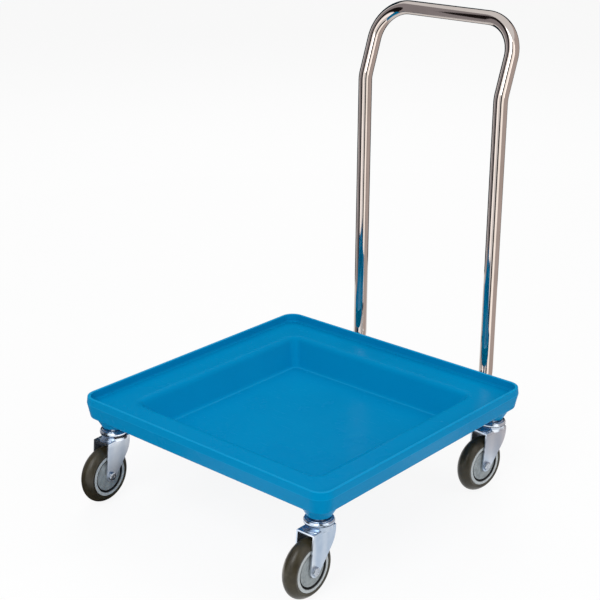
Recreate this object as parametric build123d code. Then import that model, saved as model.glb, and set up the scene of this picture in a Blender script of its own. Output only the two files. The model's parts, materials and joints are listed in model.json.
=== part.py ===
from build123d import *

import os
from math import asin, atan2, cos, degrees, radians, sin, tan

# Dish rack trolley: a square moulded tray that one rack drops into, a bent tube push
# handle clamped under the tray, and four swivel casters on threaded stems.
# Units are millimetres, with +Z up and the handle towards +Y. The origin is on the floor,
# under the middle of the overall box.

# Tray, from its own middle
RIM_HALF = 270.0
RIM_RISE = 57.5
PARTING_FLARE = 1.5
PARTING_DROP = 12.0
SKIRT_DEPTH = 39.5
SKIRT_TAPER = 11.6
SKIRT_EDGE_R = 4.0
OUTER_CORNER_R = 27.0
WALL = 4.5
LIP_TOP_WIDTH = 5.0
LIP_FOOT_WIDTH = 6.0
LIP_HEIGHT = 15.0
LIP_EDGE_R = 1.4
LIP_FOOT_R = 2.5
FLANGE_WIDTH = 65.0
WELL_SLOPE = 26.0
WELL_DEPTH = 48.0
WELL_CORNER_R = 14.0
WELL_MOUTH_R = 16.0
WELL_FLOOR_R = 9.0

# Ribs under the well floor, and the webs round each corner foot
RIB_SHEET = 3.0
RIB_DEPTH = 5.0
RIB_REACH = 160.0
RIB_PLACES = (-62.0, 0.0, 62.0)
WEB_REACH = 45.0
WEB_RISE = 3.0

# Corner foot that takes the caster stem
SWIVEL_FROM_RIM = 37.5
FOOT_TOP_R = 30.0
FOOT_BOTTOM_R = 20.0
FOOT_EDGE_R = 2.0
BOSS_R = 17.0
INSERT_R = 9.0
INSERT_LENGTH = 27.0
INSERT_END_GAP = 0.5

# Push handle
TUBE_OD = 25.0
TUBE_WALL = 1.5
POST_SPACING = 296.0
POST_BEHIND_RIM = 65.4
BAR_Z = 790.0
LEAN_RISE = 126.0
LEAN = 20.0
KINK_R = 45.0
BAR_CORNER_R = 63.0
TUBE_UNDER_WELL = 15.5
UNDER_TRAY_R = 60.0
PLUG_HEAD = 4.0
PLUG_DEPTH = 18.0

# Saddle clamps that hold the handle under the tray
SADDLE_FROM_FLOOR_EDGE = 29.0
SADDLE_PITCH = 104.0
TUBE_PAST_SADDLE = 34.0
SADDLE_WIDTH = 28.0
SADDLE_SHEET = 2.5
SADDLE_SPAN = 68.0
SADDLE_EAR_R = 6.0
SADDLE_BOLT_SPACING = 48.0
SADDLE_BOLT_R = 3.0
SADDLE_BOLT_HOLE_R = 3.3
SADDLE_BOLT_FLATS = 10.0
SADDLE_BOLT_HEAD = 4.0
SADDLE_BOLT_REACH = 10.0
SADDLE_INSERT_R = 4.5
SADDLE_INSERT_LENGTH = 12.0
CRADLE_EDGE_R = 2.0

# Caster, from its swivel axis, with the wheel trailing towards -Y
TRAIL = 29.0
WHEEL_R = 50.0
HEADINGS = {"front_right": 0.8, "front_left": 4.7, "back_right": -6.0, "back_left": 2.0}
CORNERS = {"front_right": (1, -1), "front_left": (-1, -1), "back_right": (1, 1), "back_left": (-1, 1)}

# Fork
FORK_SHEET = 2.5
CROWN_GAP = 11.6
CROWN_FRONT = 32.6
CROWN_BACK = 20.0
CROWN_EDGE_R = 1.0
LEG_END_R = 11.2
LEG_END_BACK = 1.5
LEG_BACK_ANGLE = 50.5
LEG_BACK_R = 45.0
RACE_RIM_R = 24.4
RACE_FOOT_INSET = 2.4
RACE_FOOT_RISE = 1.8
RACE_RIM_RISE = 7.6
RACE_INNER_DROP = 1.7
BEAD_CLEAR = 2.4
BEAD_R = 1.3
BEAD_SUNK = 0.4

# Upper race: balls between the fork and the cap
RACE_GAP = 0.8
UPPER_BALL_R = 3.175
UPPER_BALL_RING_R = 19.0
UPPER_BALLS = 16
CAP_HEIGHT = 5.5
CAP_RIM_HEIGHT = 2.6
CAP_RIM_EDGE_R = 1.2
CAP_SHOULDER_INSET = 1.8
CAP_INNER_RISE = 1.6
CAP_BEAD_R = 1.5
CAP_BEAD_RISE = 0.9

# Lower race: balls between the fork and the riveted cup
LOWER_BALL_R = 2.38
LOWER_BALL_RISE = 0.7
LOWER_BALLS = 12
CUP_WALL = 0.3
CUP_HEIGHT = 3.5
CUP_EDGE_R = 1.2
CUP_GAP = 2.6
CUP_SIDE_GAP = 0.5

# Kingpin
PIN_R = 6.0
PIN_HEAD_R = 8.5
PIN_HEAD = 3.0
COLLAR_R = 10.8
COLLAR_HEIGHT = 5.0
THREAD_LENGTH = 25.0
THREAD_CHAMFER = 1.0

# Axle and wheel
AXLE_R = 4.0
AXLE_FLATS = 13.0
AXLE_HEAD = 4.5
AXLE_NUT = 5.5
AXLE_END = 2.0
AXLE_END_CHAMFER = 0.6
HEX_CHAMFER = 1.0
SLEEVE_WALL = 2.0
TREAD_HALF = 14.0
TREAD_THICKNESS = 13.6
TREAD_SHOULDER_DROP = 9.0
TREAD_SHOULDER_R = 3.0
TREAD_KEY_HALF = 8.0
TREAD_KEY_RISE = 2.6
WHEEL_SIDE_GAP = 0.7
HUB_RIM_SUNK = 0.75
HUB_RIM_WALL = 5.9
HUB_WEB_HALF = 3.0
HUB_BOSS_R = 11.0
HUB_BOSS_GAP = 0.8
HUB_RIBS = 6
HUB_RIB_SHEET = 2.2
HUB_RIB_HALF = 8.5
GUARD_GAP = 3.0
GUARD_COLLAR = 2.0
GUARD_DISH = 1.3
GUARD_SHEET = 1.4
GUARD_COLLAR_R = 9.0

# Clearances
RUNNING_GAP = 0.05
SEAT_GAP = 0.05
BALL_GAP = 0.08
BOLT_GAP = 0.15
LEVEL_TOLERANCE = 0.1

# Wheel and fork across the axle
LEG_INNER = TREAD_HALF + WHEEL_SIDE_GAP
FORK_HALF = LEG_INNER + FORK_SHEET
SLEEVE_R = AXLE_R + SLEEVE_WALL
HUB_RIM_R = WHEEL_R - TREAD_THICKNESS
HUB_RIM_INNER_R = HUB_RIM_R - HUB_RIM_WALL
HUB_HALF = TREAD_HALF - HUB_RIM_SUNK
TREAD_KEY_R = HUB_RIM_R + TREAD_KEY_RISE
GUARD_R = HUB_RIM_INNER_R - GUARD_GAP
GUARD_CENTRE_X = LEG_INNER - GUARD_COLLAR
GUARD_EDGE_X = GUARD_CENTRE_X - GUARD_DISH
HUB_BOSS_HALF = GUARD_CENTRE_X - GUARD_SHEET - HUB_BOSS_GAP

# Heights, from the wheel up to the rim
CROWN_TOP = 2 * WHEEL_R + CROWN_GAP
CROWN_UNDERSIDE = CROWN_TOP - FORK_SHEET
RACE_RIM_Z = CROWN_TOP + RACE_RIM_RISE
RACE_INNER_Z = RACE_RIM_Z - RACE_INNER_DROP
CAP_RIM_Z = RACE_RIM_Z + RACE_GAP
CAP_INNER_Z = CAP_RIM_Z + CAP_INNER_RISE
CAP_TOP = CAP_RIM_Z + CAP_HEIGHT
UPPER_BALL_Z = (RACE_RIM_Z + CAP_RIM_Z) / 2
CUP_TOP = CROWN_UNDERSIDE - CUP_GAP
CUP_BOTTOM = CUP_TOP - CUP_HEIGHT
CUP_R = LEG_INNER - CUP_SIDE_GAP
LOWER_BALL_Z = CUP_TOP + LOWER_BALL_RISE
LOWER_BALL_RING_R = CUP_R - CUP_WALL - LOWER_BALL_R
FOOT_BOTTOM = CAP_TOP + COLLAR_HEIGHT
RIM_TOP = FOOT_BOTTOM + RIM_RISE
PARTING_Z = RIM_TOP - PARTING_DROP
SKIRT_BOTTOM = RIM_TOP - SKIRT_DEPTH
FLANGE_TOP = RIM_TOP - LIP_HEIGHT
FLANGE_BOTTOM = FLANGE_TOP - WALL
WELL_FLOOR = FLANGE_TOP - WELL_DEPTH
WELL_UNDERSIDE = WELL_FLOOR - WALL
UNDER_TRAY_Z = WELL_UNDERSIDE - TUBE_UNDER_WELL
KINK_Z = BAR_Z - LEAN_RISE

# Places from the tray's middle
PARTING_HALF = RIM_HALF + PARTING_FLARE
WELL_MOUTH_HALF = RIM_HALF - FLANGE_WIDTH
WELL_FLOOR_HALF = WELL_MOUTH_HALF - WELL_SLOPE
WELL_TAPER = atan2(WELL_SLOPE, WELL_DEPTH)
SWIVEL_INSET = RIM_HALF - SWIVEL_FROM_RIM
TUBE_R = TUBE_OD / 2
POST_X = POST_SPACING / 2
POST_BACK = RIM_HALF + POST_BEHIND_RIM
BAR_Y = POST_BACK + LEAN_RISE * tan(radians(LEAN))
SADDLE_BACK = WELL_FLOOR_HALF - SADDLE_FROM_FLOOR_EDGE
SADDLE_FRONT = SADDLE_BACK - SADDLE_PITCH
SADDLE_PLACES = (SADDLE_FRONT, SADDLE_BACK)
TUBE_END_Y = SADDLE_FRONT - TUBE_PAST_SADDLE

# The overall box runs from the straightest front wheel to the back of the handle
STRAIGHTEST = min(abs(HEADINGS["front_right"]), abs(HEADINGS["front_left"]))
FRONT_REACH = SWIVEL_INSET + (TRAIL + WHEEL_R) * cos(radians(STRAIGHTEST))
BACK_REACH = BAR_Y + TUBE_R
TRAY_Y = (FRONT_REACH - BACK_REACH) / 2


def rounded_square(half, corner_r, z):
    return Pos(0, 0, z) * RectangleRounded(2 * half, 2 * half, corner_r)


def tapered_block(half, corner_r, top, depth, taper):
    """A rounded square block, hung from its top and narrowing downwards."""
    return extrude(rounded_square(half, corner_r, top), amount=depth, dir=(0, 0, -1), taper=taper)


def revolved(points):
    """A ring about Z with the given outline of (radius, height) points."""
    outline = Polyline(*[(r, 0, z) for r, z in points], close=True)
    return revolve(make_face(outline), Axis.Z)


def standing(radius, height, z=0):
    """A round bar that stands on the given height."""
    return Pos(0, 0, z) * Cylinder(radius, height, align=(Align.CENTER, Align.CENTER, Align.MIN))


def ball_groove(ring_r, ball_r, z):
    return Pos(0, 0, z) * Torus(ring_r, ball_r + BALL_GAP)


def ball_ring(ring_r, ball_r, z, count):
    return [Pos(0, 0, z) * spot * Sphere(ball_r) for spot in PolarLocations(ring_r, count)]


def edges_at(shape, z):
    """The edges that lie level at a height."""
    def level(edge):
        box = edge.bounding_box()
        return max(abs(box.min.Z - z), abs(box.max.Z - z)) < LEVEL_TOLERANCE
    return shape.edges().filter_by(level)


def place(corner, shape):
    """Turn a caster piece to its heading and stand it under its corner of the tray."""
    side, end = CORNERS[corner]
    spot = Pos(side * SWIVEL_INSET, end * SWIVEL_INSET + TRAY_Y, 0)
    return spot * Rot(0, 0, HEADINGS[corner]) * shape


def hexagon(flats, height, start, outer_end):
    """A six-sided bar along Z, with the corners of its outer end (1 top, -1 bottom) turned away."""
    bar = Pos(0, 0, start) * extrude(RegularPolygon(flats / 2, 6, major_radius=False), amount=height)
    turned = standing(flats / 2 / cos(radians(30)), height, start)
    turned = chamfer(turned.edges().sort_by(Axis.Z)[-1 if outer_end > 0 else 0], HEX_CHAMFER)
    return bar & turned


def corner_spots():
    return [Pos(side * SWIVEL_INSET, end * SWIVEL_INSET, 0) for side, end in CORNERS.values()]


def foot_outline():
    """The tapered foot below the skirt, with the boss that runs on up to the flange."""
    return [(0, FOOT_BOTTOM), (FOOT_BOTTOM_R, FOOT_BOTTOM), (FOOT_TOP_R, SKIRT_BOTTOM),
            (FOOT_TOP_R, SKIRT_BOTTOM + WALL), (BOSS_R, SKIRT_BOTTOM + WALL + FOOT_TOP_R - BOSS_R),
            (BOSS_R, FLANGE_BOTTOM + WALL / 2), (0, FLANGE_BOTTOM + WALL / 2)]


def make_foot():
    foot = revolved(foot_outline())
    return fillet(edges_at(foot, FOOT_BOTTOM), FOOT_EDGE_R)


def make_corner_webs():
    """The pad that closes the skirt round one foot, and the upright webs that brace its boss."""
    pad = Pos(0, 0, SKIRT_BOTTOM + WALL / 2) * Box(2 * WEB_REACH, 2 * WEB_REACH, WALL)
    height = FLANGE_TOP - SKIRT_BOTTOM - WEB_RISE
    web = Pos(0, 0, SKIRT_BOTTOM + WEB_RISE + height / 2) * Box(2 * WEB_REACH, RIB_SHEET, height)
    return [pad] + [Rot(0, 0, turn) * web for turn in (0, 45, 90, 135)]


def make_floor_ribs():
    """A grid of shallow ribs under the well floor, clear of the handle's tubes."""
    depth = RIB_DEPTH + WALL / 2
    place_z = WELL_UNDERSIDE - RIB_DEPTH + depth / 2
    across = 2 * (POST_X - SADDLE_SPAN / 2) + CRADLE_EDGE_R
    lengthwise = [Pos(x, 0, place_z) * Box(RIB_SHEET, 2 * RIB_REACH, depth) for x in RIB_PLACES]
    crosswise = [Pos(0, side * y, place_z) * Box(across, RIB_SHEET, depth)
                 for y in SADDLE_PLACES for side in (-1, 1)]
    return lengthwise + crosswise


def make_cradle():
    """The moulded seat for one saddle clamp, with its half-round groove along Y."""
    depth = WELL_UNDERSIDE + WALL / 2 - UNDER_TRAY_Z
    block = Pos(0, 0, UNDER_TRAY_Z + depth / 2) * Box(SADDLE_SPAN, SADDLE_WIDTH, depth)
    block = fillet(block.edges().filter_by(Axis.Z), CRADLE_EDGE_R)
    block -= Pos(0, 0, UNDER_TRAY_Z) * Rot(90, 0, 0) * Cylinder(TUBE_R + SEAT_GAP, 2 * SADDLE_WIDTH)
    for side in (-1, 1):
        socket = standing(SADDLE_INSERT_R + SEAT_GAP, SADDLE_INSERT_LENGTH, UNDER_TRAY_Z)
        block -= Pos(side * SADDLE_BOLT_SPACING / 2, 0, 0) * socket
    return block


def saddle_spots():
    return [Pos(side * POST_X, y, 0) for side in (-1, 1) for y in SADDLE_PLACES]


def bolt_spots():
    return [spot * Pos(side * SADDLE_BOLT_SPACING / 2, 0, 0) for spot in saddle_spots() for side in (-1, 1)]


def make_skirt():
    """The outside of the rim and skirt, widest at the parting line and round at the bottom."""
    rise_taper = degrees(atan2(PARTING_FLARE, PARTING_DROP))
    parting = rounded_square(PARTING_HALF, OUTER_CORNER_R, PARTING_Z)
    upper = extrude(parting, amount=PARTING_DROP, taper=rise_taper)
    lower = tapered_block(PARTING_HALF, OUTER_CORNER_R, PARTING_Z, SKIRT_DEPTH - PARTING_DROP, SKIRT_TAPER)
    return fillet(edges_at(upper + lower, SKIRT_BOTTOM), SKIRT_EDGE_R)


def well_block(grow, corner_r, top, bottom):
    """The well's form between two heights, grown outwards, with the same corner all the way down."""
    def half(z):
        return WELL_FLOOR_HALF + (z - WELL_FLOOR) * WELL_SLOPE / WELL_DEPTH + grow
    return loft([rounded_square(half(z), corner_r, z) for z in (top, bottom)], ruled=True)


def make_tray():
    cavity_half = PARTING_HALF - WALL - (PARTING_Z - FLANGE_BOTTOM) * tan(radians(SKIRT_TAPER))
    cavity_depth = FLANGE_BOTTOM - SKIRT_BOTTOM
    cavity = tapered_block(cavity_half, OUTER_CORNER_R - WALL, FLANGE_BOTTOM, cavity_depth, SKIRT_TAPER)
    for spot in corner_spots():
        cavity -= [spot * web for web in make_corner_webs()]

    tub = well_block(WALL / cos(WELL_TAPER), WELL_CORNER_R + WALL, FLANGE_TOP - WALL / 2, WELL_UNDERSIDE)
    tub = fillet(edges_at(tub, WELL_UNDERSIDE), WELL_FLOOR_R + WALL)

    recess_top = RIM_HALF - LIP_TOP_WIDTH
    recess_taper = degrees(atan2(LIP_FOOT_WIDTH - LIP_TOP_WIDTH, LIP_HEIGHT))
    recess = tapered_block(recess_top, OUTER_CORNER_R - LIP_TOP_WIDTH, RIM_TOP, LIP_HEIGHT, recess_taper)
    recess = fillet(edges_at(recess, FLANGE_TOP), LIP_FOOT_R)

    well = well_block(0, WELL_CORNER_R, FLANGE_TOP, WELL_FLOOR)
    well = fillet(edges_at(well, WELL_FLOOR), WELL_FLOOR_R)

    tray = make_skirt() - cavity + tub
    tray += make_floor_ribs()
    tray += [spot * make_foot() for spot in corner_spots()]
    tray += [spot * make_cradle() for spot in saddle_spots()]
    tray -= recess
    tray -= well
    socket = standing(INSERT_R + SEAT_GAP, INSERT_LENGTH + INSERT_END_GAP, FOOT_BOTTOM)
    tray -= [spot * socket for spot in corner_spots()]

    def round_the_well(edge):
        return max(abs(edge.center().X), abs(edge.center().Y)) < WELL_MOUTH_HALF + WALL
    tray = fillet(edges_at(tray, FLANGE_TOP).filter_by(round_the_well), WELL_MOUTH_R)
    return fillet(edges_at(tray, RIM_TOP), LIP_EDGE_R)


def handle_path():
    """The tube's middle line, from its right end under the tray over the bar to its left end."""
    profile = [(TUBE_END_Y, UNDER_TRAY_Z), (POST_BACK, UNDER_TRAY_Z), (POST_BACK, KINK_Z), (BAR_Y, BAR_Z)]
    bends = [UNDER_TRAY_R, KINK_R, BAR_CORNER_R]
    right = [(POST_X, y, z) for y, z in profile]
    left = [(-POST_X, y, z) for y, z in reversed(profile)]
    return FilletPolyline(*right, *left, radius=bends + bends[::-1])


def make_handle():
    path = handle_path()
    start = Plane(origin=path @ 0, z_dir=path % 0)
    section = start * (Circle(TUBE_R) - Circle(TUBE_R - TUBE_WALL))
    return sweep(section, path=path)


def make_plug():
    """A round plug in the end of the tube, from its head at the front."""
    head = standing(TUBE_R, PLUG_HEAD, -PLUG_HEAD)
    head = fillet(head.edges().sort_by(Axis.Z)[0], PLUG_HEAD / 2)
    return Rot(-90, 0, 0) * (head + standing(TUBE_R - TUBE_WALL - SEAT_GAP, PLUG_DEPTH))


def make_saddle():
    """A strap that hugs the lower half of the tube, with a flat bolt ear on each side."""
    inner = TUBE_R + SEAT_GAP
    ring = Circle(inner + SADDLE_SHEET) - Circle(inner)
    lower = ring & (Pos(0, -TUBE_OD) * Rectangle(4 * TUBE_OD, 2 * TUBE_OD))
    ear_width = SADDLE_SPAN / 2 - inner
    ear = Rectangle(ear_width, SADDLE_SHEET)
    ears = [Pos(side * (inner + ear_width / 2), -SADDLE_SHEET / 2) * ear for side in (-1, 1)]
    strap = extrude(lower + ears, amount=SADDLE_WIDTH / 2, both=True)
    strap = Pos(0, 0, UNDER_TRAY_Z) * Rot(90, 0, 0) * strap

    def at_ear_end(edge):
        return abs(abs(edge.center().X) - SADDLE_SPAN / 2) < LEVEL_TOLERANCE
    strap = fillet(strap.edges().filter_by(Axis.Z).filter_by(at_ear_end), SADDLE_EAR_R)
    hole = Cylinder(SADDLE_BOLT_HOLE_R, 4 * SADDLE_SHEET)
    return strap - [Pos(side * SADDLE_BOLT_SPACING / 2, 0, UNDER_TRAY_Z) * hole for side in (-1, 1)]


def make_saddle_bolt():
    seat = UNDER_TRAY_Z - SADDLE_SHEET
    head = hexagon(SADDLE_BOLT_FLATS, SADDLE_BOLT_HEAD, seat - SADDLE_BOLT_HEAD, -1)
    return head + standing(SADDLE_BOLT_R, SADDLE_SHEET + SADDLE_BOLT_REACH, seat)


def make_saddle_insert():
    bar = Circle(SADDLE_INSERT_R) - Circle(SADDLE_BOLT_R + SEAT_GAP)
    return Pos(0, 0, UNDER_TRAY_Z) * extrude(bar, amount=SADDLE_INSERT_LENGTH)


def make_stem_insert():
    bar = Circle(INSERT_R) - Circle(PIN_R + SEAT_GAP)
    return Pos(0, 0, FOOT_BOTTOM) * extrude(bar, amount=INSERT_LENGTH)


def make_kingpin():
    """The riveted head, the swivel pin, the round collar and the stem, in one turned piece."""
    top = FOOT_BOTTOM + THREAD_LENGTH
    return revolved([(0, CUP_BOTTOM - PIN_HEAD), (PIN_HEAD_R - PIN_HEAD / 2, CUP_BOTTOM - PIN_HEAD),
                     (PIN_HEAD_R, CUP_BOTTOM - PIN_HEAD / 2), (PIN_HEAD_R, CUP_BOTTOM), (PIN_R, CUP_BOTTOM),
                     (PIN_R, CAP_TOP), (COLLAR_R, CAP_TOP), (COLLAR_R, FOOT_BOTTOM), (PIN_R, FOOT_BOTTOM),
                     (PIN_R, top - THREAD_CHAMFER), (PIN_R - THREAD_CHAMFER, top), (0, top)])


def make_race_cap():
    """The pressed upper cap, with a bead that stands over its ball groove."""
    shoulder = CAP_RIM_Z + CAP_RIM_HEIGHT
    bore = PIN_R + SEAT_GAP
    cap = revolved([(bore, CAP_INNER_Z), (UPPER_BALL_RING_R, CAP_INNER_Z),
                    (UPPER_BALL_RING_R, CAP_RIM_Z), (RACE_RIM_R, CAP_RIM_Z), (RACE_RIM_R, shoulder),
                    (RACE_RIM_R - CAP_SHOULDER_INSET, CAP_TOP), (bore, CAP_TOP)])
    cap = fillet(edges_at(cap, shoulder), CAP_RIM_EDGE_R)
    cap += Pos(0, 0, CAP_TOP + CAP_BEAD_RISE - CAP_BEAD_R) * Torus(UPPER_BALL_RING_R, CAP_BEAD_R)
    return cap - ball_groove(UPPER_BALL_RING_R, UPPER_BALL_R, UPPER_BALL_Z)


def make_lower_cup():
    bore = PIN_R + SEAT_GAP
    cup = revolved([(bore, CUP_BOTTOM), (CUP_R, CUP_BOTTOM), (CUP_R, CUP_TOP), (bore, CUP_TOP)])
    cup = fillet(edges_at(cup, CUP_BOTTOM).sort_by(SortBy.LENGTH)[-1], CUP_EDGE_R)
    return cup - ball_groove(LOWER_BALL_RING_R, LOWER_BALL_R, LOWER_BALL_Z)


def leg_outline():
    """One fork leg from the side: a straight front edge, a round end and a slanted back edge."""
    end = Vector(LEG_END_BACK - TRAIL, WHEEL_R)
    front_top = Vector(-CROWN_FRONT, CROWN_TOP)
    rise = front_top - end
    lean = atan2(rise.X, rise.Y) + asin(LEG_END_R / rise.length)
    up_front = Vector(sin(lean), cos(lean))
    up_back = Vector(cos(radians(LEG_BACK_ANGLE)), sin(radians(LEG_BACK_ANGLE)))
    middle = (up_front + up_back).normalized()
    half_angle = radians(up_front.get_angle(up_back)) / 2
    tip = end - middle * (LEG_END_R / sin(half_angle))
    knee = tip + up_back * ((CROWN_BACK - tip.X) / up_back.X)
    back_top = Vector(CROWN_BACK, CROWN_TOP)
    return FilletPolyline(front_top, tip, knee, back_top, radius=[0, LEG_END_R, LEG_BACK_R, 0], close=True)


def make_fork():
    """The pressed fork: two legs, the crown over the wheel and the flared lower race on top."""
    fork = Plane.YZ * extrude(make_face(leg_outline()), amount=FORK_HALF, both=True)
    fork -= Pos(0, 0, CROWN_UNDERSIDE / 2) * Box(2 * LEG_INNER, 4 * WHEEL_R, CROWN_UNDERSIDE)
    fork = fillet(edges_at(fork, CROWN_TOP).filter_by(Axis.Y), CROWN_EDGE_R)

    foot_r = RACE_RIM_R - RACE_FOOT_INSET
    race = revolved([(0, CROWN_UNDERSIDE), (foot_r, CROWN_UNDERSIDE), (foot_r, CROWN_TOP + RACE_FOOT_RISE),
                     (RACE_RIM_R, RACE_RIM_Z), (UPPER_BALL_RING_R, RACE_RIM_Z),
                     (UPPER_BALL_RING_R, RACE_INNER_Z), (0, RACE_INNER_Z)])
    bead = Pos(0, 0, CROWN_TOP - BEAD_SUNK) * Torus(RACE_RIM_R + BEAD_CLEAR, BEAD_R)
    bead &= Pos(0, -CROWN_FRONT / 2, CROWN_TOP) * Box(2 * LEG_INNER, CROWN_FRONT, 2 * BEAD_R)
    fork += race
    fork += bead
    fork -= Cylinder(PIN_R + RUNNING_GAP, 4 * CROWN_TOP)
    fork -= ball_groove(UPPER_BALL_RING_R, UPPER_BALL_R, UPPER_BALL_Z)
    fork -= ball_groove(LOWER_BALL_RING_R, LOWER_BALL_R, LOWER_BALL_Z)
    return fork - on_axle(Cylinder(AXLE_R + BOLT_GAP, 4 * FORK_HALF))


def on_axle(shape):
    """Lay a piece made along Z on the axle, with its top towards +X."""
    return Pos(0, -TRAIL, WHEEL_R) * Rot(0, 90, 0) * shape


def make_axle_bolt():
    far_end = FORK_HALF + AXLE_NUT + AXLE_END
    shank = standing(AXLE_R, far_end + FORK_HALF, -far_end)
    shank = chamfer(shank.edges().sort_by(Axis.Z)[0], AXLE_END_CHAMFER)
    return on_axle(hexagon(AXLE_FLATS, AXLE_HEAD, FORK_HALF, 1) + shank)


def make_axle_nut():
    nut = hexagon(AXLE_FLATS, AXLE_NUT, -FORK_HALF - AXLE_NUT, -1)
    return on_axle(nut - Cylinder(AXLE_R + SEAT_GAP, 4 * FORK_HALF))


def make_axle_sleeve():
    return on_axle(extrude(Circle(SLEEVE_R) - Circle(AXLE_R + BOLT_GAP), amount=LEG_INNER, both=True))


def make_guards():
    """The two round covers that sit still between the legs and the turning wheel."""
    bore = SLEEVE_R + SEAT_GAP
    guard = revolved([(bore, LEG_INNER), (GUARD_COLLAR_R, LEG_INNER), (GUARD_COLLAR_R, GUARD_CENTRE_X),
                      (GUARD_R, GUARD_EDGE_X), (GUARD_R, GUARD_EDGE_X - GUARD_SHEET),
                      (GUARD_COLLAR_R, GUARD_CENTRE_X - GUARD_SHEET), (bore, GUARD_CENTRE_X - GUARD_SHEET)])
    return [on_axle(guard), on_axle(Rot(180, 0, 0) * guard)]


def make_hub():
    """The moulded hub: a boss, a web with ribs on both sides, and a rim keyed into the tread."""
    bore = SLEEVE_R + RUNNING_GAP
    half = [(bore, HUB_BOSS_HALF), (HUB_BOSS_R, HUB_BOSS_HALF), (HUB_BOSS_R, HUB_WEB_HALF),
            (HUB_RIM_INNER_R, HUB_WEB_HALF), (HUB_RIM_INNER_R, HUB_HALF), (HUB_RIM_R, HUB_HALF),
            (HUB_RIM_R, TREAD_KEY_HALF), (TREAD_KEY_R, TREAD_KEY_HALF)]
    hub = revolved(half + [(r, -x) for r, x in reversed(half)])
    rib_length = HUB_RIM_INNER_R - HUB_BOSS_R + 2 * SLEEVE_WALL
    rib_middle = (HUB_RIM_INNER_R + HUB_BOSS_R) / 2
    rib = Pos(rib_middle, 0, 0) * Box(rib_length, HUB_RIB_SHEET, 2 * HUB_RIB_HALF)
    hub += [Rot(0, 0, turn * 360 / HUB_RIBS) * rib for turn in range(HUB_RIBS)]
    return on_axle(hub)


def make_tread():
    """The rubber tread, with a crown that curves as a parabola and rounded shoulders."""
    edge_r = WHEEL_R - TREAD_SHOULDER_DROP
    seat = HUB_RIM_R + SEAT_GAP
    groove = TREAD_KEY_R + SEAT_GAP
    groove_half = TREAD_KEY_HALF + SEAT_GAP
    crown = Bezier((edge_r, 0, -TREAD_HALF), (WHEEL_R + TREAD_SHOULDER_DROP, 0, 0), (edge_r, 0, TREAD_HALF))
    half = [(edge_r, 0, TREAD_HALF), (seat, 0, HUB_HALF), (seat, 0, groove_half), (groove, 0, groove_half)]
    sides = Polyline(*half, *[(r, 0, -x) for r, _, x in reversed(half)])
    tread = revolve(make_face(crown + sides), Axis.Z)

    def at_shoulder(edge):
        return abs(edge.radius - edge_r) < LEVEL_TOLERANCE
    shoulders = tread.edges().filter_by(GeomType.CIRCLE).filter_by(at_shoulder)
    return on_axle(fillet(shoulders, TREAD_SHOULDER_R))


def save(name, *shapes):
    solids = [solid for shape in shapes for solid in shape.solids()]
    whole = solids[0] if len(solids) == 1 else Compound(children=solids)
    export_step(whole, os.path.join("parts", name + ".step"))


def main():
    os.makedirs("parts", exist_ok=True)
    home = Pos(0, TRAY_Y, 0)
    save("tray", home * make_tray())
    save("handle_tube", home * make_handle())
    tube_ends = [Pos(side * POST_X, TUBE_END_Y, UNDER_TRAY_Z) for side in (-1, 1)]
    save("handle_end_plugs", *[home * end * make_plug() for end in tube_ends])
    saddle = make_saddle()
    for side, side_name in ((1, "right"), (-1, "left")):
        for y, y_name in zip(SADDLE_PLACES, ("front", "back")):
            save(f"handle_saddle_{y_name}_{side_name}", home * Pos(side * POST_X, y, 0) * saddle)
    save("saddle_bolts", *[home * spot * make_saddle_bolt() for spot in bolt_spots()])
    save("saddle_inserts", *[home * spot * make_saddle_insert() for spot in bolt_spots()])

    upper_balls = ball_ring(UPPER_BALL_RING_R, UPPER_BALL_R, UPPER_BALL_Z, UPPER_BALLS)
    lower_balls = ball_ring(LOWER_BALL_RING_R, LOWER_BALL_R, LOWER_BALL_Z, LOWER_BALLS)
    save("upper_race_balls", *[place(corner, ball) for corner in CORNERS for ball in upper_balls])
    save("lower_race_balls", *[place(corner, ball) for corner in CORNERS for ball in lower_balls])

    caster = {
        "stem_insert": [make_stem_insert()],
        "kingpin": [make_kingpin()],
        "race_cap": [make_race_cap()],
        "lower_cup": [make_lower_cup()],
        "fork": [make_fork()],
        "axle_bolt": [make_axle_bolt()],
        "axle_nut": [make_axle_nut()],
        "axle_sleeve": [make_axle_sleeve()],
        "hub_guards": make_guards(),
        "wheel_hub": [make_hub()],
        "tread": [make_tread()],
    }
    for corner in CORNERS:
        for name, shapes in caster.items():
            save(f"{name}_{corner}", *[place(corner, shape) for shape in shapes])


if __name__ == "__main__":
    main()
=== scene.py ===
"""The looks of the dish rack trolley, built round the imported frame.

Lengths are metres in the frame's own axes: +Z up from the floor, the handle towards +Y.
"""

import json
import logging
from collections.abc import Iterator
from dataclasses import dataclass
from enum import Enum
from functools import partialmethod
from math import cos, radians, sin

import bmesh
import bpy
import numpy as np
from mathutils import Matrix, Vector

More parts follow.
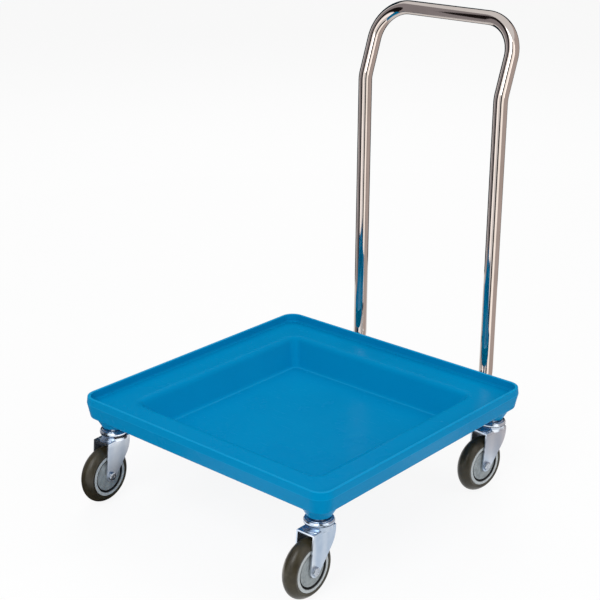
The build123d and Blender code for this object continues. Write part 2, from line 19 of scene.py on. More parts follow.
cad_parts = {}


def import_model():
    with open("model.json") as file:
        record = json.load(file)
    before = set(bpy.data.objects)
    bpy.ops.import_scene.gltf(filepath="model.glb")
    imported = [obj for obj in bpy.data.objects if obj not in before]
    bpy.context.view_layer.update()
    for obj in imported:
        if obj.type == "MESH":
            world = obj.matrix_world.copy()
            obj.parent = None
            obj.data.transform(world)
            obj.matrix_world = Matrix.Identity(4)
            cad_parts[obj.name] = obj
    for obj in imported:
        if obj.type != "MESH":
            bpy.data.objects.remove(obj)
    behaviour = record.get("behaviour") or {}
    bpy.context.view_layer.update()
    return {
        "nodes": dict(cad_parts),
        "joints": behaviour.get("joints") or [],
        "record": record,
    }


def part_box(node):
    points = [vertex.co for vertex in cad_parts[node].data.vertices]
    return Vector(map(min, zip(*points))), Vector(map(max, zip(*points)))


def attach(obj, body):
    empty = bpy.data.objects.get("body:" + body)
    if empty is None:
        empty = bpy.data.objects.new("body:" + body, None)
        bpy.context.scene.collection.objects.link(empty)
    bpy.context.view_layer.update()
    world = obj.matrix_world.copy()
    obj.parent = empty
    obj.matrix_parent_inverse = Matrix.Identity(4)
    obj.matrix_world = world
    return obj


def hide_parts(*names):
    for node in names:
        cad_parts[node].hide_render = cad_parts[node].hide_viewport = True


MM = 0.001
LOG = logging.getLogger("trolley")

# Points nearer than this are one point
WELD_GAP = 0.001 * MM

# No corner of an outline is rounded by less than this
LEAST_ROUNDING = MM / 100

# Points on each arc of the race cap's outline
ARC_POINTS = 11

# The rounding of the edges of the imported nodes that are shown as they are, by the start of their names
EDGE_ROUNDING = {"fork": 0.4 * MM, "kingpin": 0.4 * MM, "lower_cup": 0.3 * MM, "handle_saddle": 0.3 * MM}

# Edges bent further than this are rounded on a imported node, and shade as sharp on a made piece or a tube
ROUNDED_FROM = radians(35)
SHARP_FROM = radians(40)
TUBE_SHARP_FROM = radians(60)


class Corner(Enum):
    """The four casters, named by where they stand."""

    FRONT_RIGHT = "front_right"
    FRONT_LEFT = "front_left"
    BACK_RIGHT = "back_right"
    BACK_LEFT = "back_left"

    def node(self, piece: str) -> str:
        """The name of one of this corner's nodes."""
        return f"{piece}_{self.value}"


# Surfaces


def unit(vectors: np.ndarray) -> np.ndarray:
    """Vectors divided by their lengths."""
    return vectors / np.linalg.norm(vectors, axis=-1, keepdims=True)


def full_turn(count: int) -> np.ndarray:
    """Evenly spaced angles round a full turn."""
    return np.linspace(0, 2 * np.pi, count, endpoint=False)


def round_axis(radius: np.ndarray, height: np.ndarray, angle: np.ndarray) -> np.ndarray:
    """The points (r cos a, r sin a, h), for arrays whose shapes go together."""
    r, h, a = np.broadcast_arrays(radius, height, angle)
    return np.stack([r * np.cos(a), r * np.sin(a), h], axis=-1)


def arc(middle: tuple[float, float], radius: float, start: float, end: float) -> np.ndarray:
    """Points of an outline on the arc middle + radius (cos a, sin a), from start to end."""
    angle = np.linspace(start, end, ARC_POINTS)
    return middle + radius * np.column_stack([np.cos(angle), np.sin(angle)])


def rounded_path(points: np.ndarray, radii: np.ndarray | list[float], steps: int) -> np.ndarray:
    """Round the inner corners of a polyline with arcs.

    At a corner p with unit directions a and b towards its neighbours, the arc's centre is
    p + (a + b) / |a + b| * r / sin(angle / 2), and its points turn evenly from one tangent
    point to the other.

    Args:
        points: the corners, one row each, in two or three dimensions.
        radii: one radius for each corner; the first and last are ignored.
        steps: points on each arc.

    Returns:
        The rounded line, one row for each point.
    """
    inner = points[1:-1]
    to_last, to_next = unit(points[:-2] - inner), unit(points[2:] - inner)
    angle = np.arccos(np.clip((to_last * to_next).sum(axis=1), -1, 1))
    r = np.maximum(np.asarray(radii, float)[1:-1], LEAST_ROUNDING)
    centre = inner + unit(to_last + to_next) * (r / np.sin(angle / 2))[:, None]
    tangent = (r / np.tan(angle / 2))[:, None]
    start = inner + to_last * tangent - centre
    end = inner + to_next * tangent - centre
    t = np.linspace(0, 1, steps)[None, :, None]
    sweep = (np.pi - angle)[:, None, None]
    bend = (np.sin((1 - t) * sweep) * start[:, None] + np.sin(t * sweep) * end[:, None]) / np.sin(sweep)
    bends = (centre[:, None] + bend).reshape(-1, points.shape[1])
    return np.vstack([points[:1], bends, points[-1:]])


@dataclass
class Surface:
    """A grid of points in rows and columns.

    Attributes:
        points: the grid, of shape (rows, columns, 3).
        around: whether the last column joins the first.
        along: whether the last row joins the first.
    """

    points: np.ndarray
    around: bool = True
    along: bool = False

    def cells(self) -> tuple[np.ndarray, np.ndarray]:
        """Where each quad begins.

        Returns:
            The first row and the first column of each quad, as two flat arrays.
        """
        rows, columns = self.points.shape[:2]
        row = np.arange(rows if self.along else rows - 1)
        column = np.arange(columns if self.around else columns - 1)
        row, column = np.meshgrid(row, column, indexing="ij")
        return row.ravel(), column.ravel()

    def faces(self, first: int) -> np.ndarray:
        """The grid's quads, each between two rows and two columns.

        Args:
            first: the index of the grid's first vertex in the mesh.

        Returns:
            One row of four vertex indices for each quad.
        """
        rows, columns = self.points.shape[:2]
        row, column = self.cells()
        below, right = (row + 1) % rows, (column + 1) % columns
        here, there = row * columns, below * columns
        return first + np.stack([here + column, here + right, there + right, there + column], axis=-1)

    def map(self) -> np.ndarray:
        """The quads' corners on the flattened surface, in metres.

        The first coordinate runs round the widest row, and the second is the mean distance
        between the rows, added up.

        Returns:
            One row of eight numbers for each quad: its four corners' two coordinates.
        """
        columns = self.points.shape[1]
        round_rows = np.diff(self.points, axis=1, append=self.points[:, :1])
        between_rows = np.diff(self.points, axis=0, append=self.points[:1])
        width = np.linalg.norm(round_rows, axis=2).sum(axis=1).max()
        height = np.concatenate([[0], np.cumsum(np.linalg.norm(between_rows, axis=2).mean(axis=1))])
        row, column = self.cells()
        u, v = column / columns * width, height[row]
        u_next, v_next = (column + 1) / columns * width, height[row + 1]
        return np.stack([u, v, u_next, v, u_next, v_next, u, v_next], axis=-1)

    def moved(self, turn: np.ndarray, place: np.ndarray) -> "Surface":
        """The surface turned by a 3 x 3 matrix and then moved."""
        return Surface(self.points @ turn.T + place, self.around, self.along)


def build_mesh(name: str, surfaces: list[Surface]) -> bpy.types.Object:
    """Put surfaces into one object at the origin, with their seams and poles closed.

    Args:
        name: the piece's name.
        surfaces: the grids that make up the piece.

    Returns:
        The new object, in the scene.
    """
    grids = [surface.points.reshape(-1, 3) for surface in surfaces]
    firsts = [0, *np.cumsum([len(grid) for grid in grids])]
    faces = [surface.faces(first) for surface, first in zip(surfaces, firsts)]
    vertices = np.concatenate(grids).astype(np.float32)
    quads = np.concatenate(faces).astype(np.int32)
    flat = np.concatenate([surface.map() for surface in surfaces]).astype(np.float32)
    mesh = bpy.data.meshes.new(name)
    mesh.vertices.add(len(vertices))
    mesh.vertices.foreach_set("co", vertices.ravel())
    mesh.loops.add(quads.size)
    mesh.loops.foreach_set("vertex_index", quads.ravel())
    mesh.polygons.add(len(quads))
    mesh.polygons.foreach_set("loop_start", np.arange(0, quads.size, 4, dtype=np.int32))
    mesh.uv_layers.new(name="flat").data.foreach_set("uv", flat.ravel())
    mesh.update(calc_edges=True)
    close_seams(mesh)
    mesh.polygons.foreach_set("use_smooth", np.ones(len(mesh.polygons), bool))
    piece = bpy.data.objects.new(name, mesh)
    bpy.context.scene.collection.objects.link(piece)
    return piece


def close_seams(mesh: bpy.types.Mesh) -> None:
    """Merge the points that lie together, drop the faces that this flattens and turn all faces outwards.

    Args:
        mesh: the mesh, which is changed in place.
    """
    work = bmesh.new()
    work.from_mesh(mesh)
    bmesh.ops.remove_doubles(work, verts=work.verts, dist=WELD_GAP)
    bmesh.ops.dissolve_degenerate(work, edges=work.edges, dist=WELD_GAP)
    bmesh.ops.recalc_face_normals(work, faces=work.faces)
    work.to_mesh(mesh)
    work.free()


def keep_flats_flat(piece: bpy.types.Object) -> None:
    """Shade a piece smoothly, with its broad faces kept flat beside small rounded edges.

    Args:
        piece: the made piece.
    """
    piece.data.set_sharp_from_angle(angle=SHARP_FROM)
    modifier = piece.modifiers.new("even_shading", "WEIGHTED_NORMAL")
    modifier.keep_sharp = True


def break_edges(node: bpy.types.Object, width: float) -> None:
    """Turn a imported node's loose triangles into one skin with small rounded edges.

    Args:
        node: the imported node, whose own mesh stays as it is.
        width: the size of the rounding, in metres.
    """
    weld = node.modifiers.new("one_skin", "WELD")
    weld.merge_threshold = WELD_GAP
    bevel = node.modifiers.new("broken_edges", "BEVEL")
    bevel.width = width
    bevel.segments = 2
    bevel.limit_method = "ANGLE"
    bevel.angle_limit = ROUNDED_FROM
    shading = node.modifiers.new("even_shading", "WEIGHTED_NORMAL")
    shading.weight = 100


def lathe(profile: np.ndarray, segments: int, closed: bool = False) -> Surface:
    """Turn a profile of (radius, height) about +Z: point = (r cos a, r sin a, h).

    Args:
        profile: the outline, one row for each point.
        segments: points round the axis.
        closed: whether the outline's last point joins its first.

    Returns:
        The turned surface.
    """
    points = round_axis(profile[:, :1], profile[:, 1:], full_turn(segments))
    return Surface(points, along=closed)


def mirrored(half: np.ndarray) -> np.ndarray:
    """An outline of (radius, height) carried on by its own mirror image below height 0."""
    return np.vstack([half, half[::-1] * [1, -1]])


def hexagon_radius(flats: float, angle: np.ndarray) -> np.ndarray:
    """From a hexagon's middle to its side: half the flats over the cosine of the angle off the flat."""
    return flats / 2 / np.cos((angle + np.pi / 6) % (np.pi / 3) - np.pi / 6)


@dataclass(frozen=True)
class Hexagon:
    """A bolt head or nut along +Z, with a round bearing face below and turned corners above.

    Attributes:
        flats: width across the flats.
        height: its thickness.
        bore: radius of a hole through it, or 0 for a solid head.
        washer: height of the bearing face, and depth of the hollow in a solid head.
        slope: how steeply the corners are turned.
        circle_share: radius of the bearing face, in half flats.
        hollow_share: radius of the hollow, in whole flats.
        hollow_floor: radius of the hollow's floor, in the hollow's radius.
        segments: points round the axis.
    """

    flats: float
    height: float
    bore: float = 0.0
    washer: float = 0.3 * MM
    slope: float = 0.55
    circle_share: float = 0.95
    hollow_share: float = 0.26
    hollow_floor: float = 0.9
    segments: int = 72

    def surface(self) -> Surface:
        """The six-sided body: each ring of points has its own radius and height round the axis.

        The side wall stands on the hexagon's own radius. It stops below the top by the slope times
        how far that radius passes a circle just inside the flats, as a turned cone would cut it.

        Returns:
            The surface, from the bearing face up to the middle or the bore.
        """
        angle = full_turn(self.segments)
        outline = hexagon_radius(self.flats, angle)
        circle = self.flats / 2 * self.circle_share
        cut = (outline - circle) * self.slope
        inner = max(self.bore, self.flats * self.hollow_share)
        dish = self.height if self.bore else self.height - self.washer
        rings = [(self.bore, 0), (circle, 0), (circle, self.washer), (outline, self.washer),
                 (outline, self.height - cut), (circle, self.height), (inner, self.height),
                 (inner * self.hollow_floor, dish), (self.bore, dish)]
        r, z = (np.stack([np.broadcast_to(ring[i], angle.shape) for ring in rings]) for i in (0, 1))
        return Surface(round_axis(r, z, angle), along=bool(self.bore))


@dataclass(frozen=True)
class Thread:
    """A threaded rod along +Z from height 0.

    Attributes:
        radius: over the crests.
        length: of the rod.
        pitch: from crest to crest.
        depth: from crest to root.
        rows: rows of points to each pitch.
        columns: points round the rod.
        end_depth: how deep both ends lie, as a share of the depth.
    """

    radius: float
    length: float
    pitch: float = 1.25 * MM
    depth: float = 0.7 * MM
    rows: int = 10
    columns: int = 48
    end_depth: float = 0.6

    def surface(self) -> Surface:
        """The rod: r = radius - depth x w, where w is a triangle wave of height / pitch + angle / turn.

        The wave fades out at both ends, where the rod closes on its axis.

        Returns:
            The surface, from one end's middle to the other's.
        """
        angle = full_turn(self.columns)
        height = np.linspace(0, self.length, int(self.length / self.pitch * self.rows) + 2)[:, None]
        phase = (height / self.pitch + angle / (2 * np.pi)) % 1
        wave = np.abs(2 * phase - 1)
        fade = np.clip(np.minimum(height, self.length - height) / self.pitch, 0, 1)
        r = self.radius - self.depth * (wave * fade + (1 - fade) * self.end_depth)
        ends = ((1, 1), (0, 0))
        return Surface(round_axis(np.pad(r, ends), np.pad(height, ends, "edge"), angle))


@dataclass(frozen=True)
class BentTube:
    """A round tube along a line that is symmetric about X = 0 and leans back over its top.

    Attributes:
        outer: outside radius.
        inner: inside radius.
        lean: how far the top leans back, in radians.
        columns: points round the tube.
    """

    outer: float
    inner: float
    lean: float
    columns: int = 48

    def frame(self, line: np.ndarray) -> tuple[np.ndarray, np.ndarray]:
        """Two directions across the tube at each point of its line.

        With T the direction along the line, the first is T x X, turned to the same side on both
        halves. Where T lies along X it is the normal of the leaning plane. The second is T x first.

        Args:
            line: the tube's middle line.

        Returns:
            Both directions, one row for each point.
        """
        along = unit(np.gradient(line, axis=0))
        across = np.cross(along, [1.0, 0.0, 0.0]) * np.sign(line[:, :1])
        size = np.linalg.norm(across, axis=1, keepdims=True)
        top = np.array([0.0, cos(self.lean), -sin(self.lean)])
        first = np.where(size > MM, across / np.maximum(size, MM), top)
        return first, np.cross(along, first)

    def wall(self, line: np.ndarray, radius: float) -> Surface:
        """A ring of points round each point p of the line: p + r (cos a first + sin a second).

        Args:
            line: the tube's middle line.
            radius: r.

        Returns:
            The skin at that radius.
        """
        angle = full_turn(self.columns)[None, :, None]
        first, second = self.frame(line)
        ring = np.cos(angle) * first[:, None] + np.sin(angle) * second[:, None]
        return Surface(line[:, None] + radius * ring)

    def surfaces(self, line: np.ndarray) -> list[Surface]:
        """The outside, the inside and the two cut ends.

        Args:
            line: the tube's middle line.

        Returns:
            The four surfaces.
        """
        outside, inside = self.wall(line, self.outer), self.wall(line, self.inner)
        ends = [Surface(np.stack([outside.points[i], inside.points[i]])) for i in (0, -1)]
        return [outside, inside, *ends]


# Shader nodes


class Wire:
    """A node's output, with arithmetic that adds Math nodes."""

    def __init__(self, nodes: "Nodes", socket: bpy.types.NodeSocket) -> None:
        """Hold a socket of a node tree."""
        self.nodes = nodes
        self.socket = socket

    def math(self, operation: str, other: "Wire | float", turned: bool = False) -> "Wire":
        """Add a Math node on this wire and another value, which comes first where they are turned round."""
        values = (other, self) if turned else (self, other)
        return self.nodes.add("ShaderNodeMath", {"operation": operation}, dict(enumerate(values)))

    __add__ = __radd__ = partialmethod(math, "ADD")
    __sub__ = partialmethod(math, "SUBTRACT")
    __rsub__ = partialmethod(math, "SUBTRACT", turned=True)
    __mul__ = __rmul__ = partialmethod(math, "MULTIPLY")
    __truediv__ = partialmethod(math, "DIVIDE")

    def step(self, low: float, high: float) -> "Wire":
        """A straight ramp from 0 at low to 1 at high, held flat outside them."""
        ramp = (self - low) / (high - low)
        return ramp.math("MAXIMUM", 0.0).math("MINIMUM", 1.0)

    def band(self, low: float, high: float, soft: float) -> "Wire":
        """1 between low and high and 0 outside them, with edges that fade over twice the softness."""
        return self.step(low - soft, low + soft) - self.step(high - soft, high + soft)


class Nodes:
    """A node tree."""

    def __init__(self, tree: bpy.types.NodeTree) -> None:
        """Hold the tree."""
        self.tree = tree

    def add(self, kind: str, settings: dict | None = None, inputs: dict | None = None,
            output: int | str = 0) -> Wire:
        """Add a node.

        Args:
            kind: the node's type.
            settings: its properties, set before its sockets.
            inputs: values or wires for its sockets, by name or index.
            output: which output to hand back.

        Returns:
            The node's output.
        """
        node = self.tree.nodes.new(kind)
        for key, value in (settings or {}).items():
            setattr(node, key, value)
        for key, value in (inputs or {}).items():
            self.join(node.inputs[key], value)
        return Wire(self, node.outputs[output])

    def join(self, socket: bpy.types.NodeSocket, value: Wire | float | tuple) -> None:
        """Set a socket to a value, or link a wire to it.

        Args:
            socket: the socket.
            value: its value, or the wire that feeds it.
        """
        if isinstance(value, Wire):
            self.tree.links.new(value.socket, socket)
        else:
            socket.default_value = value

    def seen(self) -> Wire:
        """Tell what is seen from what only lights something else.

        Returns:
            1 where it is seen directly, in a reflection or through something clear, and 0 for light.
        """
        rays = [self.add("ShaderNodeLightPath", output=f"Is {kind} Ray")
                for kind in ("Camera", "Glossy", "Transmission")]
        return (rays[0] + rays[1] + rays[2]).step(0.0, 1.0)


class NodeTree(Nodes):
    """The node tree of one material."""

    def __init__(self, name: str) -> None:
        """Start a material with a Principled shader.

        Args:
            name: the material's name.
        """
        self.material = bpy.data.materials.new(name)
        self.material.use_nodes = True
        super().__init__(self.material.node_tree)
        self.shader = self.tree.nodes["Principled BSDF"]

    def surface(self, **sockets: Wire | float | tuple) -> None:
        """Set the Principled shader's sockets, named with underscores for spaces."""
        for name, value in sockets.items():
            self.join(self.shader.inputs[name.replace("_", " ")], value)

    def place(self) -> Wire:
        """The point on the object, in metres."""
        return self.add("ShaderNodeTexCoord", output="Object")

    def flat(self) -> Wire:
        """The point on the flattened surface of a made piece, in metres round it and along it."""
        return self.add("ShaderNodeUVMap", {"uv_map": "flat"})

    def scaled(self, where: Wire, scale: tuple[float, float, float]) -> Wire:
        """A point stretched along each axis."""
        return self.add("ShaderNodeMapping", {"vector_type": "TEXTURE"},
                        {"Vector": where, "Scale": tuple(1 / s for s in scale)})

    def skin(self, where: Wire, waves: float) -> Wire:
        """The height of a moulded skin: fine orange peel over slow waves of so many to the metre."""
        return self.noise(where, 1100.0, 1.0) * 0.5 + self.noise(where, waves, 1.0) * 0.5

    def scuffs(self, where: Wire, least: float) -> Wire:
        """Short light scratches, where the noise passes the least value."""
        return self.noise(self.scaled(where, (40.0, 700.0, 300.0)), 1.0, 3.0).step(least, 0.76)

    def noise(self, where: Wire, scale: float, detail: float = 2.0, rough: float = 0.5) -> Wire:
        """Noise from 0 to 1, with about scale blobs to the metre."""
        return self.add("ShaderNodeTexNoise", None,
                        {"Vector": where, "Scale": scale, "Detail": detail, "Roughness": rough}, "Fac")

    def blend(self, amount: Wire | float, first: Wire | tuple, second: Wire | tuple) -> Wire:
        """A colour between two colours, by the Mix node's colour sockets 6, 7 and 2."""
        return self.add("ShaderNodeMix", {"data_type": "RGBA"}, {0: amount, 6: first, 7: second}, 2)

    def bump(self, height: Wire, distance: float) -> Wire:
        """A normal from a height of 0 to 1 that stands for a depth in metres."""
        return self.add("ShaderNodeBump", None, {"Height": height, "Distance": distance}, "Normal")

    def axis(self, where: Wire, name: str) -> Wire:
        """One coordinate of a point."""
        return self.add("ShaderNodeSeparateXYZ", None, {0: where}, name)


Colour = tuple[float, float, float, float]


def linear(red: int, green: int, blue: int) -> Colour:
    """A colour in Blender's linear values.

    Args:
        red: 0 to 255, as it shows on a screen.
        green: the same.
        blue: the same.

    Returns:
        The colour, with a full alpha.
    """
    c = np.array([red, green, blue]) / 255
    value = np.where(c <= 0.04045, c / 12.92, ((c + 0.055) / 1.055) ** 2.4)
    return (*[float(v) for v in value], 1.0)


# Finishes

# How deep the moulded plastics' skins are
SKIN_DEPTH = 0.02 * MM


@dataclass(frozen=True)
class MouldedPlastic:
    """A moulded plastic with faint mottling, a fine orange-peel skin and light scuffs."""

    name: str
    colour: Colour
    shade: Colour
    roughness: float = 0.3
    shine: float = 0.5
    mottle_scale: float = 9.0

    def make(self) -> bpy.types.Material:
        """Build the material.

        Returns:
            The material.
        """
        m = NodeTree(self.name)
        where = m.place()
        mottle = m.noise(where, self.mottle_scale, 4.0, 0.6)
        scuffs = m.scuffs(where, 0.64)
        m.surface(Base_Color=m.blend(mottle.step(0.3, 0.7), self.colour, self.shade),
                  Roughness=self.roughness + mottle * 0.06 + scuffs * 0.1,
                  Normal=m.bump(m.skin(where, 60.0), SKIN_DEPTH), Specular_IOR_Level=self.shine)
        return m.material


@dataclass(frozen=True)
class TrayPlastic:
    """The tray's blue plastic: faint flow mottling, orange-peel skin, scuffs from racks, and paler lines of
    painted highlight.

    The paler lines are painted highlights, where edges catch the light: along the rim's top, at the mould's
    parting line, and round the foot of the well.

    Attributes:
        rim_top: the height where the painted highlight on the rim's top edge begins, and how strongly it
            shows.
        parting: the same for the painted highlight along the mould's parting line.
        well_foot: the same for the painted highlight round the well's floor.
        rim_fade: over what height the first comes in.
        line_half: half the width of the other two.
    """

    rim_top: tuple[float, float] = (187.2 * MM, 0.45)
    parting: tuple[float, float] = (176.0 * MM, 0.4)
    well_foot: tuple[float, float] = (125.9 * MM, 0.28)
    rim_fade: float = 0.6 * MM
    line_half: float = 0.5 * MM
    name: str = "tray_blue"
    colour: Colour = linear(0, 136, 189)
    shade: Colour = linear(0, 132, 186)
    # The pale colour of the painted highlights, and of the real scuffs
    scuff_and_highlight_colour: Colour = linear(30, 162, 214)
    gloss_tint: Colour = (0.02, 0.5, 0.85, 1.0)

    def make(self) -> bpy.types.Material:
        """Build the material.

        Returns:
            The material.
        """
        m = NodeTree(self.name)
        where = m.place()
        mottle = m.noise(where, 8.0, 4.0, 0.6)
        scuffs = m.scuffs(where, 0.66)
        height = m.axis(where, "Z")
        # Painted highlights: pale lines along the rim's top edge, the parting line and the well's foot, with
        # the real scuffs added in
        (edge, strength), half = self.rim_top, self.line_half
        scuffs_and_painted_highlights = height.step(edge, edge + self.rim_fade) * strength
        for middle, strength in (self.parting, self.well_foot):
            scuffs_and_painted_highlights += height.band(middle - half, middle + half, half / 2) * strength
        scuffs_and_painted_highlights += scuffs * 0.12
        plain = m.blend(mottle.step(0.3, 0.7), self.colour, self.shade)
        m.surface(Base_Color=m.blend(scuffs_and_painted_highlights.step(0.0, 1.0), plain, self.scuff_and_highlight_colour),
                  Roughness=0.24 + mottle * 0.06 + scuffs * 0.1 + scuffs_and_painted_highlights * 0.05,
                  Normal=m.bump(m.skin(where, 55.0), SKIN_DEPTH), Specular_IOR_Level=0.04,
                  Specular_Tint=self.gloss_tint)
        return m.material


@dataclass(frozen=True)
class PolishedTube:
    """Polished stainless tube, with fine polishing lines along it, faint smears and a warm cast painted in as
    a reflected warm room.
    """

    name: str = "polished_tube"
    # The warm cast of these colours is painted reflection: it stands in for a warm room seen in the steel
    colour: Colour = linear(202, 193, 188)
    smeared: Colour = linear(194, 185, 179)
    edge: Colour = linear(232, 228, 224)
    roughness: float = 0.035

    def make(self) -> bpy.types.Material:
        """Build the material.

        Returns:
            The material.
        """
        m = NodeTree(self.name)
        lines = m.noise(m.scaled(m.flat(), (2600.0, 9.0, 1.0)), 1.0, 2.0)
        broad = m.noise(m.scaled(m.flat(), (700.0, 3.0, 1.0)), 1.0, 1.0)
        smears = m.noise(m.place(), 16.0, 4.0, 0.6)
        m.surface(Base_Color=m.blend(smears.step(0.45, 0.75), self.colour, self.smeared), Metallic=1.0,
                  Roughness=self.roughness + lines * 0.03 + smears.step(0.4, 0.8) * 0.03,
                  Normal=m.bump(lines * 0.4 + broad * 0.6, 0.0008 * MM), Specular_Tint=self.edge)
        return m.material


@dataclass(frozen=True)
class BearingSteel:
    """Ground steel balls with a faint grease film."""

    name: str = "bearing_steel"
    colour: Colour = linear(186, 186, 184)
    film: Colour = linear(150, 146, 136)

    def make(self) -> bpy.types.Material:
        """Build the material.

        Returns:
            The material.
        """
        m = NodeTree(self.name)
        grease = m.noise(m.place(), 400.0, 3.0)
        m.surface(Base_Color=m.blend(grease.step(0.4, 0.7), self.colour, self.film), Metallic=1.0,
                  Roughness=0.08 + grease.step(0.4, 0.7) * 0.2, Normal=m.bump(grease, 0.004 * MM))
        return m.material


@dataclass(frozen=True)
class ZincPlate:
    """Bright plate on steel: a faint cast, cloudy sheen, press lines, painted reflection stripes, and duller
    low down.

    Attributes:
        name: the material's name.
        colour: the plate's.
        shade: of its clouds, and of the stripes of painted reflection.
        dull: the roughness low down.
        bright: the roughness high up.
        dull_below: the height where the first ends.
        bright_above: the height where the second begins.
    """

    name: str
    colour: Colour
    shade: Colour
    dull: float = 0.3
    bright: float = 0.14
    dull_below: float = 100.0 * MM
    bright_above: float = 113.0 * MM

    def make(self) -> bpy.types.Material:
        """Build the material.

        Returns:
            The material.
        """
        m = NodeTree(self.name)
        where = m.place()
        cloud = m.noise(where, 42.0, 4.0, 0.6)
        grain = m.noise(where, 1500.0, 1.0)
        press = m.noise(m.scaled(where, (900.0, 900.0, 25.0)), 1.0, 2.0)
        # Painted reflection: soft upright stripes in the colour stand in for light bands reflected down the
        # fork's legs
        reflection_stripes = m.noise(m.scaled(where, (30.0, 42.0, 5.0)), 1.0, 0.0).step(0.34, 0.66)
        height = m.axis(where, "Z").step(self.dull_below, self.bright_above)
        clouds_and_reflection_stripes = cloud.step(0.3, 0.7) * 0.35 + reflection_stripes * 0.65
        rough = self.dull + (self.bright - self.dull) * height
        m.surface(Base_Color=m.blend(clouds_and_reflection_stripes, self.colour, self.shade), Metallic=0.95,
                  Roughness=rough + cloud * 0.08 + grain * 0.03,
                  Normal=m.bump(press * 0.5 + grain * 0.5, 0.005 * MM))
        return m.material


@dataclass(frozen=True)
class TreadRubber:
    """Dark olive-grey rubber, with fine scratches round the wheel and dust in its grain."""

    name: str = "tread_rubber"
    colour: Colour = linear(60, 55, 40)
    shade: Colour = linear(42, 38, 27)

    def make(self) -> bpy.types.Material:
        """Build the material.

        Returns:
            The material.
        """
        m = NodeTree(self.name)
        where = m.place()
        mottle = m.noise(where, 60.0, 4.0, 0.6)
        grit = m.noise(where, 800.0, 2.0)
        scratches = m.noise(m.scaled(m.flat(), (24.0, 2200.0, 1.0)), 1.0, 3.0)
        m.surface(Base_Color=m.blend(mottle.step(0.35, 0.65), self.colour, self.shade),
                  Roughness=0.25 + mottle * 0.1 + scratches.step(0.5, 0.75) * 0.12, Specular_IOR_Level=0.35,
                  Normal=m.bump(grit * 0.5 + scratches * 0.5, SKIN_DEPTH))
        return m.material


@dataclass(frozen=True)
class HubPlastic:
    """Pale moulded plastic, plain on the rim, with shade painted dark down in the recess.

    The recess is where the distance along the hub's outline lies between two values, on either side
    of the outline's middle.

    Attributes:
        from_end: where the recess begins, from either end of the outline.
        to_rim: where it ends.
        outline: the outline's whole length.
        soft: half the width of the recess's faded edges.
    """

    from_end: float = 5.0 * MM
    to_rim: float = 41.4 * MM
    outline: float = 127.5 * MM
    soft: float = 0.6 * MM
    name: str = "hub_plastic"
    colour: Colour = linear(190, 196, 198)
    shade: Colour = linear(176, 182, 184)
    # The dark colour of the shade painted in the recess
    recess_shade_colour: Colour = linear(52, 54, 56)

    def make(self) -> bpy.types.Material:
        """Build the material.

        Returns:
            The material.
        """
        m = NodeTree(self.name)
        where = m.place()
        mottle = m.noise(where, 40.0, 4.0, 0.6)
        skin = m.noise(where, 1100.0, 1.0)
        along = m.axis(m.flat(), "Y")
        recess = [way.band(self.from_end, self.to_rim, self.soft) for way in (along, self.outline - along)]
        # Painted shade: the recess is coloured dark where shade falls, unevenly by the mottling, and made
        # rougher
        painted_recess_shade = ((recess[0] + recess[1]) * (0.75 + mottle * 0.5)).step(0.0, 1.0)
        unshaded = m.blend(mottle.step(0.3, 0.7), self.colour, self.shade)
        m.surface(Base_Color=m.blend(painted_recess_shade, unshaded, self.recess_shade_colour), Specular_IOR_Level=0.4,
                  Roughness=0.34 + mottle * 0.06 + painted_recess_shade * 0.2, Normal=m.bump(skin, SKIN_DEPTH))
        return m.material


def make_finishes() -> dict[str, bpy.types.Material]:
    """Build the trolley's materials.

    Returns:
        The materials, one for each of the record's slots.
    """
    return {
        "blue_plastic": TrayPlastic().make(),
        "polished_steel": PolishedTube().make(),
        "bright_zinc": ZincPlate("fork_zinc", linear(214, 222, 232), linear(166, 184, 206)).make(),
        "zinc_steel": ZincPlate("bolt_zinc", linear(196, 202, 210), linear(164, 172, 184),
                                dull=0.16, bright=0.16).make(),
        "grey_rubber": TreadRubber().make(),
        "light_grey_plastic": HubPlastic().make(),
        "grey_plastic": MouldedPlastic("guard_grey", linear(156, 164, 166), linear(124, 132, 136),
                                       shine=0.4, mottle_scale=110.0).make(),
        "black_plastic": MouldedPlastic("plug_black", linear(30, 30, 30), linear(38, 38, 38),
                                        roughness=0.45).make(),
        "brass_insert": ZincPlate("insert_brass", linear(204, 168, 98), linear(180, 146, 84),
                                  dull=0.3, bright=0.3).make(),
        "bearing_steel": BearingSteel().make(),
    }


# The trolley's own pieces


